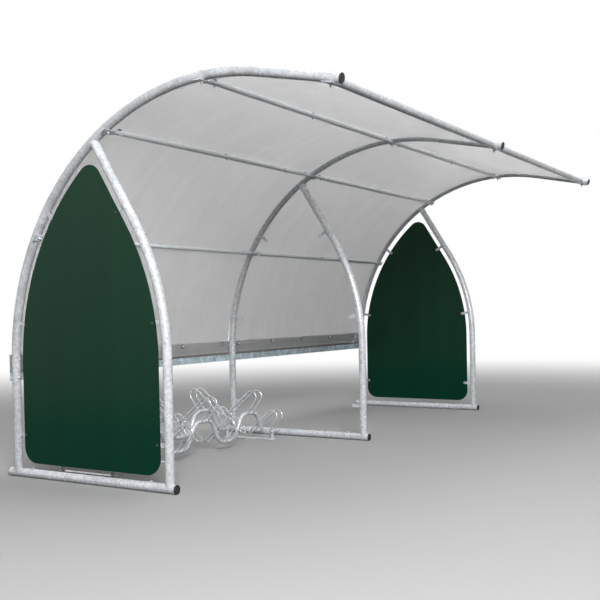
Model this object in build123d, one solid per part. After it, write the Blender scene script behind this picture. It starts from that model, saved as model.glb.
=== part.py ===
from build123d import *
import math
import os

# Two-bay curved bike shelter with a double-sided wheel rack in its left bay.
# Millimetres, +Z up, +X along the shelter, the open front towards -Y. The origin
# is on the ground, in the middle of the shelter's footprint.

# Driving dimensions of the three side frames
BAY = 2100.0
TUBE_D = 50.0
TUBE_WALL = 2.5
STAND_HEIGHT = 658.0
ARCH_RADIUS = 1446.0
ARCH_SWEEP = 102.6
TIP_LENGTH = 453.0
POST_SPACING = 1148.0
POST_STAND_HEIGHT = 687.0
POST_RADIUS = 1405.0
POST_SWEEP = 32.0
BASE_OVERRUN_REAR = 63.0
BASE_OVERRUN_FRONT = 42.0

# Anchor holes down through each base tube, as distances from the arch's foot
ANCHOR_D = 12.0
ANCHORS = (120.0, 1020.0)

# End caps
CAP_THICKNESS = 5.0
CAP_CHAMFER = 2.0
CAP_PLUG = 18.0
CAP_CLEARANCE = 0.3

# Lugs that hold the side panels
LUG_HEIGHTS = (247.0, 892.0, 1514.0)
LUG_REACH = 92.0
LUG_WIDTH = 22.0
LUG_THICKNESS = 5.0
LUG_HOLE_D = 9.0
LUG_HOLE_AT = 77.0

# Side panels
PANEL_ARCH_MARGIN = 65.0
PANEL_POST_MARGIN = 57.0
PANEL_BOTTOM = 85.0
PANEL_THICKNESS = 4.0
PANEL_TIP_RADIUS = 88.0
PANEL_CORNER_RADIUS = 95.0

# Purlins: angle round the arch's bow to each one, the front one's distance from the tip, and how
# far its centre lies under the arches' centrelines
PURLIN_ANGLES = {"lower": 30.2, "upper": 61.4, "crown": 88.6}
FRONT_PURLIN_SETBACK = 49.0
FRONT_PURLIN_DROP = 8.0
PURLIN_D = 26.9
FRONT_PURLIN_D = 42.4
PURLIN_WALL = 2.3

# Purlins' ends, pressed to pass under the arches: width of the pressed shape, how far it bites
# on the arch, its corners' radius as a share of its height, how far from the frame the tube is
# pressed and round, and where it ends
PRESSED_WIDTH = 40.0
FRONT_PRESSED_WIDTH = 58.0
PRESS_BITE = 0.6
PRESS_ROUNDING = 0.49
PRESSED_TO = 28.0
ROUND_FROM = 60.0
OUTER_REACH = 45.0
MIDDLE_GAP = 1.0

# Roof sheets, whose middle surface follows the arches' centrelines and ends behind the front
# purlins
SHEET_THICKNESS = 4.0
SHEET_SIDE_GAP = 6.0
SHEET_TIP_SETBACK = 70.5
SHEET_LOWER_EDGE = 606.0

# Rear rail, a folded channel across the backs of the arches, in two lengths
RAIL_TOP = 708.0
RAIL_BOTTOM = 556.0
RAIL_THICKNESS = 2.5
RAIL_FLANGE = 12.0
RAIL_END = 25.0
RAIL_JOINT_X = 1200.0
SPLICE_LENGTH = 160.0

# Wheel rack
RACK_LEFT_GAP = 208.0
RACK_RIGHT_GAP = 182.0
RACK_CENTRE = 322.0
RACK_SPREAD = 405.0
RACK_PLACES = 7
RACK_TUBE_D = 26.9
RACK_TUBE_WALL = 2.3
WAVE_LOW = 61.0
WAVE_RISE = 162.0
WAVE_RADIUS = 90.0
WAVE_SLOPE = 63.5
WAVE_END = 90.0
FOOT_WIDTH = 40.0
FOOT_THICKNESS = 6.0
FOOT_POST_D = 25.0
FEET = {"left": (0, -70.0), "middle": (2, -70.0), "right": (6, 30.0)}
HOOP_ROD_D = 10.0
HOOP_GAUGE = 67.0
HOOP_SEAT = 10.0
HOOP_LEG = 114.5
HOOP_LEG_SLOPE = 52.9
HOOP_TURN = 42.0
HOOP_DIAGONAL = 258.0
HOOP_DIAGONAL_SLOPE = 40.1

FRAMES = {"left": -BAY, "middle": 0.0, "right": BAY}
BAYS = {"left": (-BAY, 0.0), "right": (0.0, BAY)}


def turn(x, y, degrees):
    """The vector (x, y) turned anticlockwise."""
    a = math.radians(degrees)
    return (x * math.cos(a) - y * math.sin(a), x * math.sin(a) + y * math.cos(a))


# How far the roof caps reach ahead of the arches' feet, and the base caps behind them
TIP_SLOPE = math.radians(ARCH_SWEEP - 90)
ROOF_REACH = (ARCH_RADIUS * (1 + math.sin(TIP_SLOPE))
              + (TIP_LENGTH + CAP_THICKNESS) * math.cos(TIP_SLOPE)
              + (TUBE_D / 2 - CAP_CHAMFER) * math.sin(TIP_SLOPE))
BASE_REACH = BASE_OVERRUN_REAR + CAP_THICKNESS
FOOT_Y = (ROOF_REACH - BASE_REACH) / 2


def side_plane(x):
    """A frame's plane: local x runs forward from the arch's foot, local y up."""
    return Plane(origin=(x, FOOT_Y, 0), x_dir=(0, -1, 0), z_dir=(-1, 0, 0))


def arch_edges():
    """Centreline of an arch in its frame's plane, from the base tube to the roof tip."""
    stand = Line((0, TUBE_D / 2), (0, STAND_HEIGHT))
    bow = JernArc(stand @ 1, stand % 1, ARCH_RADIUS, -ARCH_SWEEP)
    tip = Line(bow @ 1, (bow @ 1) + (bow % 1) * TIP_LENGTH)
    return stand, bow, tip


def arch_distance(point, direction):
    """How far a line runs from a point to the centreline of the arch's bow."""
    dx = point.X - ARCH_RADIUS
    dy = point.Y - STAND_HEIGHT
    b = dx * direction.X + dy * direction.Y
    return math.sqrt(b * b - dx * dx - dy * dy + ARCH_RADIUS ** 2) - b


def post_edges():
    """Centreline of a front post, from the base tube up into the arch."""
    stand = Line((POST_SPACING, TUBE_D / 2), (POST_SPACING, POST_STAND_HEIGHT))
    bow = JernArc(stand @ 1, stand % 1, POST_RADIUS, POST_SWEEP)
    top = Line(bow @ 1, (bow @ 1) + (bow % 1) * arch_distance(bow @ 1, bow % 1))
    return stand, bow, top


def base_edge():
    """Centreline of a base tube in its frame's plane."""
    return Line((-BASE_OVERRUN_REAR, TUBE_D / 2), (POST_SPACING + BASE_OVERRUN_FRONT, TUBE_D / 2))


def rod(path, diameter):
    """A solid round bar along a path of tangent edges."""
    wire = Wire(path)
    return sweep(Plane(wire @ 0, z_dir=wire % 0) * Circle(diameter / 2), path=wire)


def tube(path, diameter, wall):
    """A round tube along a path of tangent edges."""
    return rod(path, diameter) - rod(path, diameter - 2 * wall)


def at_height(edges, z):
    """The point of a rising centreline at height z, and its direction there."""
    wire = Wire(edges)
    low, high = 0.0, 1.0
    for _ in range(40):
        middle = (low + high) / 2
        if (wire @ middle).Y < z and (wire % middle).Y > 0:
            low = middle
        else:
            high = middle
    return wire @ low, wire % low


def lug(point, inward):
    """A flat round-ended lug that reaches inward from a tube's centreline."""
    root = TUBE_D / 2 - TUBE_WALL / 2
    flat = Pos((root + LUG_REACH - LUG_WIDTH / 2) / 2, 0) * Rectangle(
        LUG_REACH - LUG_WIDTH / 2 - root, LUG_WIDTH)
    end = Pos(LUG_REACH - LUG_WIDTH / 2, 0) * Circle(LUG_WIDTH / 2)
    hole = Pos(LUG_HOLE_AT, 0) * Circle(LUG_HOLE_D / 2)
    plane = Plane(origin=(point.X, point.Y, 0), x_dir=(inward.X, inward.Y, 0), z_dir=(0, 0, 1))
    return plane * extrude(flat + end - hole, LUG_THICKNESS / 2, both=True)


def lug_places(edges, side):
    """Root and inward direction of a tube's lugs: side is 1 on the arch, -1 on the post."""
    places = []
    for z in LUG_HEIGHTS:
        point, along = at_height(edges, z)
        places.append((point, Vector(along.Y * side, -along.X * side, 0)))
    return places


def base_tube():
    """Base tube with its anchor holes drilled straight down."""
    body = tube([base_edge()], TUBE_D, TUBE_WALL)
    for s in ANCHORS:
        drill = Plane(origin=(s, -1, 0), x_dir=(1, 0, 0), z_dir=(0, 1, 0))
        body -= drill * extrude(Circle(ANCHOR_D / 2), TUBE_D + 2)
    return body


def arch():
    """Rear leg and roof bow in one bent tube, coped onto the base tube."""
    body = tube(arch_edges(), TUBE_D, TUBE_WALL) - rod([base_edge()], TUBE_D)
    for point, inward in lug_places(arch_edges(), 1):
        body += lug(point, inward)
    return body


def post():
    """Bent front post, coped onto the base tube below and the arch above."""
    body = tube(post_edges(), TUBE_D, TUBE_WALL)
    body -= rod([base_edge()], TUBE_D)
    body -= rod(arch_edges(), TUBE_D)
    for point, inward in lug_places(post_edges(), -1):
        body += lug(point, inward)
    return body


def cap():
    """Push-in end cap: local z points out of the tube, from the tube's end face."""
    bore = TUBE_D / 2 - TUBE_WALL - CAP_CLEARANCE
    face = extrude(Circle(TUBE_D / 2), CAP_THICKNESS)
    face = chamfer(face.edges().group_by(Axis.Z)[-1], CAP_CHAMFER)
    return face + Pos(0, 0, -CAP_PLUG) * extrude(Circle(bore), CAP_PLUG)


def cap_at(point, outward):
    """A cap on a tube end, in a frame's plane."""
    return Plane(origin=(point.X, point.Y, 0), x_dir=(0, 0, 1),
                 z_dir=(outward.X, outward.Y, 0)) * cap()


def panel():
    """Pointed side panel, a margin inside the arch and the post."""
    behind = Pos(ARCH_RADIUS, STAND_HEIGHT) * Circle(ARCH_RADIUS - PANEL_ARCH_MARGIN)
    behind += Pos(ARCH_RADIUS, STAND_HEIGHT / 2) * Rectangle(
        2 * (ARCH_RADIUS - PANEL_ARCH_MARGIN), STAND_HEIGHT)
    post_bow = post_edges()[1]
    away = [Vector(-(post_bow % u).Y, (post_bow % u).X, 0) * PANEL_POST_MARGIN
            for u in (0, 0.5, 1)]
    right = Line((POST_SPACING - PANEL_POST_MARGIN, PANEL_BOTTOM), (post_bow @ 0) + away[0])
    curve = ThreePointArc((post_bow @ 0) + away[0], (post_bow @ 0.5) + away[1],
                          (post_bow @ 1) + away[2])
    slope = Line(curve @ 1, (curve @ 1) + (post_bow % 1) * ARCH_RADIUS / 2)
    back = Polyline(slope @ 1, (0, (slope @ 1).Y), (0, PANEL_BOTTOM),
                    (POST_SPACING - PANEL_POST_MARGIN, PANEL_BOTTOM))
    outline = make_face([right, curve, slope] + back.edges()) & behind
    outline = fillet(outline.vertices().sort_by(Axis.Y)[-1], PANEL_TIP_RADIUS)
    outline = fillet(outline.vertices().group_by(Axis.Y)[0], PANEL_CORNER_RADIUS)
    body = extrude(outline, PANEL_THICKNESS)
    for edges, side in ((arch_edges(), 1), (post_edges(), -1)):
        for point, inward in lug_places(edges, side):
            place = point + inward * LUG_HOLE_AT
            body -= Pos(place.X, place.Y, 0) * extrude(Circle(LUG_HOLE_D / 2), PANEL_THICKNESS)
    return body


def purlin_places():
    """Each purlin's point on the arch, outward direction, drop, diameter and pressed width."""
    tip = arch_edges()[-1]
    under_sheet = (PURLIN_D + SHEET_THICKNESS) / 2
    places = {}
    for name, angle in PURLIN_ANGLES.items():
        out = Vector(*turn(-1, 0, -angle), 0)
        root = Vector(ARCH_RADIUS, STAND_HEIGHT, 0) + out * ARCH_RADIUS
        places[name] = (root, out, under_sheet, PURLIN_D, PRESSED_WIDTH)
    root = (tip @ 1) - (tip % 1) * FRONT_PURLIN_SETBACK
    out = Vector(-(tip % 1).Y, (tip % 1).X, 0)
    places["front"] = (root, out, FRONT_PURLIN_DROP, FRONT_PURLIN_D, FRONT_PRESSED_WIDTH)
    return places


def pressed_end(drop, diameter, width, reach):
    """End of a purlin, pressed from round to flat so that it passes under an arch.

    Local x runs outward past the frame's plane, and local z is the arch's outward direction.
    """
    top = PRESS_BITE - TUBE_D / 2
    height = top + drop + diameter / 2
    sections = []
    for x, z, w, h in ((-ROUND_FROM, -drop, diameter, diameter),
                       (-PRESSED_TO, top - height / 2, width, height)):
        shape = RectangleRounded(w, h, PRESS_ROUNDING * h)
        sections.append(Plane(origin=(x, 0, z), x_dir=(0, 1, 0), z_dir=(1, 0, 0)) * shape)
    return loft(sections, ruled=True) + extrude(sections[1], PRESSED_TO + reach)


def purlin(root, out, drop, diameter, width, outer):
    """One bay's purlin along x; outer is the side of its outer frame, -1 or 1."""
    length = BAY - 2 * ROUND_FROM
    body = Pos(0, 0, -drop) * Rot(0, 90, 0) * (
        Cylinder(diameter / 2, length) - Cylinder(diameter / 2 - PURLIN_WALL, length))
    for side in (-1, 1):
        end = pressed_end(drop, diameter, width, OUTER_REACH if side == outer else -MIDDLE_GAP)
        body += Pos(side * BAY / 2, 0, 0) * Rot(0, 0, 90 - 90 * side) * end
    y, z = FOOT_Y - root.X, root.Y
    return Plane(origin=(0, y, z), x_dir=(1, 0, 0), z_dir=(0, -out.X, out.Y)) * body


def sheet():
    """Curved roof sheet, from the roof's front edge down over the face of the rear rail."""
    tip = arch_edges()[-1]
    start = math.radians(PURLIN_ANGLES["lower"])
    seat = TUBE_D / 2 - SHEET_THICKNESS / 2
    radius = ARCH_RADIUS + seat / (1 - math.cos(start))
    front = Line((tip @ 1) - (tip % 1) * SHEET_TIP_SETBACK, tip @ 0)
    roof = JernArc(tip @ 0, (tip % 0) * -1, ARCH_RADIUS, ARCH_SWEEP - PURLIN_ANGLES["lower"])
    bend = PURLIN_ANGLES["lower"] - math.degrees(math.asin(
        (SHEET_LOWER_EDGE - (roof @ 1).Y + radius * math.sin(start)) / radius))
    back = JernArc(roof @ 1, roof % 1, radius, bend)
    path = Wire([front, roof, back])
    band = Plane(path @ 0, x_dir=(0, 0, 1), z_dir=path % 0) * Rectangle(
        BAY - TUBE_D - 2 * SHEET_SIDE_GAP, SHEET_THICKNESS)
    return sweep(band, path=path)


def rail(x0, x1):
    """A length of the rear rail, its web against the backs of the arches."""
    height = RAIL_TOP - RAIL_BOTTOM
    t = RAIL_THICKNESS
    section = Rectangle(RAIL_FLANGE, height) - Pos(-t, 0) * Rectangle(RAIL_FLANGE, height - 2 * t)
    section = Pos(-TUBE_D / 2 - RAIL_FLANGE / 2, RAIL_BOTTOM + height / 2) * section
    return extrude(side_plane(x0) * section, x0 - x1)


def splice():
    """Plate inside the rear rail that carries its short length at the joint."""
    height = RAIL_TOP - RAIL_BOTTOM - 2 * RAIL_THICKNESS
    y = FOOT_Y + TUBE_D / 2 + RAIL_THICKNESS
    return Pos(RAIL_JOINT_X, y + RAIL_THICKNESS / 2, RAIL_BOTTOM + RAIL_THICKNESS + height / 2) * Box(
        SPLICE_LENGTH, RAIL_THICKNESS, height)


def rack_places():
    """Height of the wave tube at each wheel place: low, high, low ..."""
    return [WAVE_LOW + WAVE_RISE * (i % 2) for i in range(RACK_PLACES)]


def rack_x(i):
    return -BAY + RACK_LEFT_GAP + WAVE_END + i * RACK_PITCH


def wave(y):
    """Wave tube of the rack: level dips and crests joined by steep flanks."""
    edges = [Line((rack_x(0) - WAVE_END, WAVE_LOW), (rack_x(0) + WAVE_LEVEL / 2, WAVE_LOW))]
    for i in range(RACK_PLACES - 1):
        bend = WAVE_SLOPE if i % 2 == 0 else -WAVE_SLOPE
        level = WAVE_LEVEL if i < RACK_PLACES - 2 else WAVE_LEVEL / 2 + WAVE_END
        edges.append(JernArc(edges[-1] @ 1, edges[-1] % 1, WAVE_RADIUS, bend))
        edges.append(Line(edges[-1] @ 1, (edges[-1] @ 1) + (edges[-1] % 1) * WAVE_FLANK))
        edges.append(JernArc(edges[-1] @ 1, edges[-1] % 1, WAVE_RADIUS, -bend))
        edges.append(Line(edges[-1] @ 1, (edges[-1] @ 1) + (edges[-1] % 1) * level))
    plane = Plane(origin=(0, y, 0), x_dir=(1, 0, 0), z_dir=(0, -1, 0))
    return [plane * e for e in edges]


def hoop(x, y, z, side):
    """Wheel hoop: one rod bent into two hairpins that meet in a U near the rack's middle.

    side is 1 for the front row, whose hairpins lean out to -Y, and -1 for the rear row.
    """
    leg = Line((0, 0), turn(HOOP_LEG, 0, HOOP_LEG_SLOPE))
    hairpin = JernArc(leg @ 1, leg % 1, HOOP_TURN, 180 - HOOP_LEG_SLOPE + HOOP_DIAGONAL_SLOPE)
    low = (hairpin @ 1) + (hairpin % 1) * (HOOP_DIAGONAL - HOOP_GAUGE / 2)
    bottom = (hairpin @ 1) + (hairpin % 1) * HOOP_DIAGONAL
    profile = [leg @ 0, leg @ 1, hairpin @ 0.5, hairpin @ 1, low]
    left = [Vector(x - HOOP_GAUGE / 2, y - side * p.X, z + p.Y) for p in profile]
    right = [Vector(x + HOOP_GAUGE / 2, y - side * p.X, z + p.Y) for p in profile]
    return [
        Line(left[0], left[1]),
        ThreePointArc(left[1], left[2], left[3]),
        Line(left[3], left[4]),
        ThreePointArc(left[4], Vector(x, y - side * bottom.X, z + bottom.Y), right[4]),
        Line(right[4], right[3]),
        ThreePointArc(right[3], right[2], right[1]),
        Line(right[1], right[0]),
    ]


def foot(place, offset):
    """Flat bar on the ground with a stub up to each wave tube, offset from a place's dip."""
    x = rack_x(place) + offset
    on_end = (place == 0 and offset < 0) or (place == RACK_PLACES - 1 and offset > 0)
    past_level = 0 if on_end else max(abs(offset) - WAVE_LEVEL / 2, 0)
    stub = WAVE_LOW + WAVE_RADIUS - math.sqrt(WAVE_RADIUS ** 2 - past_level ** 2)
    bar = Pos(x, RACK_Y, FOOT_THICKNESS / 2) * Box(FOOT_WIDTH, RACK_SPREAD + FOOT_WIDTH, FOOT_THICKNESS)
    for y in WAVE_Y.values():
        bar += Pos(x, y, stub / 2) * Cylinder(FOOT_POST_D / 2, stub)
    return bar


# The wave's pitch fills the bay, and its level stretches take what its bends leave of the pitch
RACK_PITCH = (BAY - RACK_LEFT_GAP - RACK_RIGHT_GAP - 2 * WAVE_END) / (RACK_PLACES - 1)
FLANK_ANGLE = math.radians(WAVE_SLOPE)
WAVE_FLANK = (WAVE_RISE - 2 * WAVE_RADIUS * (1 - math.cos(FLANK_ANGLE))) / math.sin(FLANK_ANGLE)
WAVE_LEVEL = (RACK_PITCH - 2 * WAVE_RADIUS * math.sin(FLANK_ANGLE)
              - WAVE_FLANK * math.cos(FLANK_ANGLE))
RACK_Y = FOOT_Y - RACK_CENTRE
WAVE_Y = {"front": RACK_Y - RACK_SPREAD / 2, "rear": RACK_Y + RACK_SPREAD / 2}

pieces = {}

frame_base = base_tube()
frame_arch = arch()
frame_post = post()
arch_rod = rod(arch_edges(), TUBE_D)
base = base_edge()
arch_tip = arch_edges()[-1]
roof_cap = cap_at(arch_tip @ 1, arch_tip % 1)
front_cap = cap_at(base @ 1, base % 1)
rear_cap = cap_at(base @ 0, (base % 0) * -1)
for side, x in FRAMES.items():
    plane = side_plane(x)
    pieces["base_tube_" + side] = plane * frame_base
    pieces["arch_" + side] = plane * frame_arch
    pieces["front_post_" + side] = plane * frame_post
    pieces["roof_cap_" + side] = plane * roof_cap
    pieces["base_front_cap_" + side] = plane * front_cap
    pieces["base_rear_cap_" + side] = plane * rear_cap

side_panel = panel()
lug_face = LUG_THICKNESS / 2
pieces["side_panel_left"] = side_plane(-BAY - lug_face) * side_panel
pieces["side_panel_right"] = side_plane(BAY + lug_face + PANEL_THICKNESS) * side_panel

roof_sheet = sheet()
near_arch = side_plane(-BAY / 2) * arch_rod
far_arch = side_plane(BAY / 2) * arch_rod
for name, (root, out, drop, diameter, width) in purlin_places().items():
    for side, (x0, x1) in BAYS.items():
        outer = -1 if side == "left" else 1
        body = purlin(root, out, drop, diameter, width, outer) - near_arch - far_arch
        pieces[name + "_purlin_" + side] = Pos((x0 + x1) / 2, 0, 0) * body

for side, (x0, x1) in BAYS.items():
    pieces["roof_sheet_" + side] = side_plane((x0 + x1) / 2) * roof_sheet

pieces["rear_rail_long"] = rail(-BAY - RAIL_END, RAIL_JOINT_X) + splice()
pieces["rear_rail_short"] = rail(RAIL_JOINT_X, BAY + RAIL_END)

wave_rods = {}
for row, y in WAVE_Y.items():
    wave_rods[row] = rod(wave(y), RACK_TUBE_D)
    pieces["rack_wave_" + row] = wave_rods[row] - rod(wave(y), RACK_TUBE_D - 2 * RACK_TUBE_WALL)

for side, (place, offset) in FEET.items():
    feet = foot(place, offset)
    pieces["rack_foot_" + side] = feet - wave_rods["front"] - wave_rods["rear"]

for i, z in enumerate(rack_places()):
    for row, way in (("front", 1), ("rear", -1)):
        bent = rod(hoop(rack_x(i), WAVE_Y[row] - way * HOOP_SEAT, z, way), HOOP_ROD_D)
        pieces["%s_wheel_hoop_%d" % (row, i + 1)] = bent - wave_rods[row]

os.makedirs("parts", exist_ok=True)
for name, shape in pieces.items():
    solids = shape.solids()
    if len(solids) != 1:
        raise ValueError("%s has %d solids" % (name, len(solids)))
    solid = solids[0]
    solid.label = name
    export_step(solid, "parts/%s.step" % name)
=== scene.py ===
import math
import bmesh
import bpy
from mathutils import Matrix, Vector


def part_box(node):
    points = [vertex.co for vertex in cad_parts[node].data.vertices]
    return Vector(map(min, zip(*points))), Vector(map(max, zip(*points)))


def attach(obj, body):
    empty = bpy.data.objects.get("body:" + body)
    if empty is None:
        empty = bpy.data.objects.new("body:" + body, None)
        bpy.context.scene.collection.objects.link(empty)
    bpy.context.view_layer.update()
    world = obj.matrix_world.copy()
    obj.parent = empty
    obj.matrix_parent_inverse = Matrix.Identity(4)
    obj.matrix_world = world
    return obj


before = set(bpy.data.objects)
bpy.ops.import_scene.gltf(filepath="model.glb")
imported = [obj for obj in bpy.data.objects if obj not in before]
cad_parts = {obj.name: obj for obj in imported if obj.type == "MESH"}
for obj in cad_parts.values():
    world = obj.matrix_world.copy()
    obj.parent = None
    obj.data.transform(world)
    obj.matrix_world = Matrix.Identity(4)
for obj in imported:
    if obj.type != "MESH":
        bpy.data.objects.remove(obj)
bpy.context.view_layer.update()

bl_info = {
    "name": "Curved Bike Shelter",
    "version": (1, 0, 0),
    "blender": (4, 5, 0),
    "location": "3D View > Sidebar > Shelter",
    "description": "Finishes, fixings and welds of a two-bay curved bike shelter with a wheel rack",
    "category": "Object",
}

SIDES = ("left", "middle", "right")
BAYS = ("left", "right")
PURLINS = ("lower", "upper", "crown", "front")
SHEET_PURLINS = ("lower", "upper", "crown")
HOOPS_A_SIDE = 7

# Taken from the frame
ARCH_LOW, ARCH_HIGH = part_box("arch_middle")
TUBE_RADIUS = (ARCH_HIGH.x - ARCH_LOW.x) / 2
BASE_CENTRE_Z = TUBE_RADIUS
FOOT_Y = ARCH_HIGH.y - TUBE_RADIUS
FRAME_X = {side: sum(c.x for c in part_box("base_tube_" + side)) / 2 for side in SIDES}

# Bolts, as shares of their diameter
WASHER_WIDTH = 2.1
WASHER_HEIGHT = 0.2
HEX_FLATS = 1.65
HEAD_HEIGHT = 0.62
DOME_RADIUS = 1.02
NUT_HEIGHT = 0.8
THREAD_PITCH = 0.16

# How much larger the domed heads on the sheets at the rail are than the others
RAIL_HEAD = 1.2

# How deep a washer beds into a round tube, as shares of the bolt's diameter
ARCH_BEDDING = 0.10
PURLIN_BEDDING = 0.12
BASE_BEDDING = 0.20

# How deep a nut or clamp plate beds into a purlin's flat end, and a rail bolt's washer into an
# arch, in metres
CLAMP_BEDDING = 0.0004
HEAD_BEDDING = 0.0006

# Share of a seal's thickness that is left under a tightened head
SEAL_SQUEEZE = 0.9

# Ripples of a weld bead: share of its radius, and turn from one point to the next
RIPPLES = ((0.14, 2.4), (0.06, 5.1))

# Steps of a search that halves its range each time
HALVINGS = 30


# Sizes and colours that a user would change

class ShelterShape(bpy.types.PropertyGroup):
    stand_height: bpy.props.FloatProperty(
        name="Stand Height", description="Height at which the arches' rear legs start to bend",
        default=0.658, unit="LENGTH")
    arch_sweep: bpy.props.FloatProperty(
        name="Arch Sweep", description="Angle that the arches' bow turns through",
        default=math.radians(102.6), subtype="ANGLE", unit="ROTATION")
    tip_length: bpy.props.FloatProperty(
        name="Tip Length", description="Straight length of the arches' front end",
        default=0.453, unit="LENGTH")
    post_spacing: bpy.props.FloatProperty(
        name="Post Spacing", description="Distance from an arch's foot to its front post",
        default=1.148, unit="LENGTH")
    post_stand: bpy.props.FloatProperty(
        name="Post Stand", description="Height at which the front posts start to bend",
        default=0.687, unit="LENGTH")
    post_radius: bpy.props.FloatProperty(
        name="Post Radius", description="Bend radius of the front posts",
        default=1.405, unit="LENGTH")
    post_sweep: bpy.props.FloatProperty(
        name="Post Sweep", description="Angle that a front post's bend turns through",
        default=math.radians(32.0), subtype="ANGLE", unit="ROTATION")
    lower_angle: bpy.props.FloatProperty(
        name="Lower Purlin", description="Angle round the bow to the lower purlin",
        default=math.radians(30.2), subtype="ANGLE", unit="ROTATION")
    upper_angle: bpy.props.FloatProperty(
        name="Upper Purlin", description="Angle round the bow to the upper purlin",
        default=math.radians(61.4), subtype="ANGLE", unit="ROTATION")
    crown_angle: bpy.props.FloatProperty(
        name="Crown Purlin", description="Angle round the bow to the crown purlin",
        default=math.radians(88.6), subtype="ANGLE", unit="ROTATION")
    front_setback: bpy.props.FloatProperty(
        name="Front Purlin Setback",
        description="Distance of the front purlin from the arches' tips",
        default=0.049, unit="LENGTH")
    purlin_diameter: bpy.props.FloatProperty(
        name="Purlin Diameter", description="Outside diameter of the three roof purlins",
        default=0.0269, unit="LENGTH")
    front_purlin_diameter: bpy.props.FloatProperty(
        name="Front Purlin Diameter", description="Outside diameter of the front purlin",
        default=0.0424, unit="LENGTH")
    front_purlin_drop: bpy.props.FloatProperty(
        name="Front Purlin Drop",
        description="How far the front purlin lies under the arches' centrelines",
        default=0.008, unit="LENGTH")
    sheet_thickness: bpy.props.FloatProperty(
        name="Sheet Thickness", description="Thickness of the roof sheets",
        default=0.004, unit="LENGTH")


class ShelterFixings(bpy.types.PropertyGroup):
    bolt_diameter: bpy.props.FloatProperty(
        name="Bolt Diameter", description="Thread diameter of the bolts through tubes and rail",
        default=0.008, unit="LENGTH")
    small_bolt_diameter: bpy.props.FloatProperty(
        name="Small Bolt Diameter",
        description="Thread diameter of the bolts through sheets and panels",
        default=0.006, unit="LENGTH")
    anchor_diameter: bpy.props.FloatProperty(
        name="Anchor Diameter", description="Thread diameter of the base tubes' anchors",
        default=0.010, unit="LENGTH")
    clamp_length: bpy.props.FloatProperty(
        name="Clamp Length", description="Length of the plates that clamp two purlins' ends",
        default=0.056, unit="LENGTH")
    clamp_width: bpy.props.FloatProperty(
        name="Clamp Width", description="Width of the plates that clamp two purlins' ends",
        default=0.030, unit="LENGTH")
    clamp_thickness: bpy.props.FloatProperty(
        name="Clamp Thickness", description="Thickness of the plates that clamp two purlins' ends",
        default=0.004, unit="LENGTH")
    clamp_chamfer: bpy.props.FloatProperty(
        name="Clamp Chamfer", description="Chamfer round the edges of the clamp plates",
        default=0.0006, unit="LENGTH")
    sheet_bolt_inset: bpy.props.FloatProperty(
        name="Sheet Bolt Inset", description="Distance of a sheet's outer bolts from the frames",
        default=0.10, unit="LENGTH")
    sheet_bolt_pitch: bpy.props.FloatProperty(
        name="Sheet Bolt Pitch",
        description="Spacing of the bolts that hold the sheets to the purlins",
        default=0.95, unit="LENGTH")
    seal_diameter: bpy.props.FloatProperty(
        name="Seal Diameter", description="Diameter of the black rubber seals on the sheets",
        default=0.028, unit="LENGTH")
    seal_thickness: bpy.props.FloatProperty(
        name="Seal Thickness", description="Thickness of the black rubber seals' rims",
        default=0.0025, unit="LENGTH")
    rail_seal_diameter: bpy.props.FloatProperty(
        name="Rail Seal Diameter",
        description="Diameter of the black rubber seals along the rail",
        default=0.030, unit="LENGTH")
    rail_thickness: bpy.props.FloatProperty(
        name="Rail Thickness",
        description="Thickness of the rear rail's steel and of its splice plate",
        default=0.0025, unit="LENGTH")
    rail_bolt_pitch: bpy.props.FloatProperty(
        name="Rail Bolt Pitch",
        description="Spacing of the bolts that hold the sheets to the rear rail",
        default=0.475, unit="LENGTH")
    rail_bolt_height: bpy.props.FloatProperty(
        name="Rail Bolt Height",
        description="Height of the bolts that hold the sheets to the rear rail",
        default=0.688, unit="LENGTH")
    rail_upper_bolt: bpy.props.FloatProperty(
        name="Upper Rail Bolts",
        description="Height of the rail's upper bolts, at the arches and the splice",
        default=0.677, unit="LENGTH")
    rail_lower_bolt: bpy.props.FloatProperty(
        name="Lower Rail Bolts",
        description="Height of the rail's lower bolts, at the arches and the splice",
        default=0.574, unit="LENGTH")
    splice_bolt_inset: bpy.props.FloatProperty(
        name="Splice Bolt Inset",
        description="Distance of the splice's bolts from the rail's joint",
        default=0.040, unit="LENGTH")
    lug_hole: bpy.props.FloatProperty(
        name="Lug Hole", description="Distance of a lug's hole from its tube's centreline",
        default=0.077, unit="LENGTH")
    lug_width: bpy.props.FloatProperty(
        name="Lug Width", description="Width of the flat lugs on the arches and posts",
        default=0.022, unit="LENGTH")
    lug_thickness: bpy.props.FloatProperty(
        name="Lug Thickness", description="Thickness of the flat lugs on the arches and posts",
        default=0.005, unit="LENGTH")
    lug_heights: bpy.props.FloatVectorProperty(
        name="Lug Heights", description="Heights of the three lugs on each arch and post",
        default=(0.247, 0.892, 1.514), size=3, unit="LENGTH")
    anchor_rear: bpy.props.FloatProperty(
        name="Rear Anchor", description="Distance of the rear anchor from the arch's foot",
        default=0.120, unit="LENGTH")
    anchor_front: bpy.props.FloatProperty(
        name="Front Anchor", description="Distance of the front anchor from the arch's foot",
        default=1.020, unit="LENGTH")
    anchor_lift: bpy.props.FloatProperty(
        name="Anchor Lift", description="Height of the anchor bolts' lower ends",
        default=0.001, unit="LENGTH")
    weld_radius: bpy.props.FloatProperty(
        name="Weld Radius", description="Half the width of the weld beads on the frames",
        default=0.0028, unit="LENGTH")
    rod_weld_radius: bpy.props.FloatProperty(
        name="Rod Weld Radius", description="Half the width of the weld beads on the rack",
        default=0.0019, unit="LENGTH")


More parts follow.
